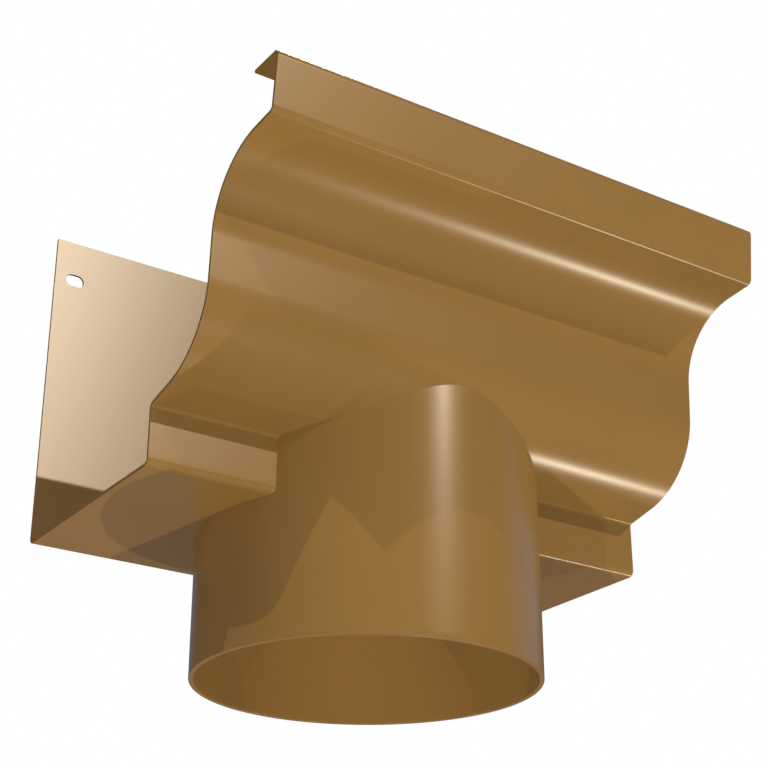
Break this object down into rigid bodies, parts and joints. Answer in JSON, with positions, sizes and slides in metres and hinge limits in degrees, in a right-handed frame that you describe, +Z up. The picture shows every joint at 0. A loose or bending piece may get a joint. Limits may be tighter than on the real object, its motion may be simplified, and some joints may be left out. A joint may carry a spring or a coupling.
{
  "type": "gutter outlet",
  "caption": "Ogee gutter outlet: a short folded length of ogee gutter, open at both ends, with a round spigot coped and joined under it and fixing slots in its back plate.",
  "frame": {"origin": "on the spigot's axis, in the plane of its bottom rim", "axes": "+X along the gutter, -Y towards the ogee front, +Y towards the fascia behind the back plate, +Z up"},
  "size_m": [0.165, 0.1371, 0.142],
  "materials": {
    "painted_sheet": "satin to gloss ochre-brown paint on aluminium sheet",
    "painted_tube": "satin to gloss ochre-brown paint on aluminium tube"
  },
  "bodies": {
    "root": {"gutter_section": "painted_sheet", "outlet_spigot": "painted_tube"}
  },
  "joints": []
}
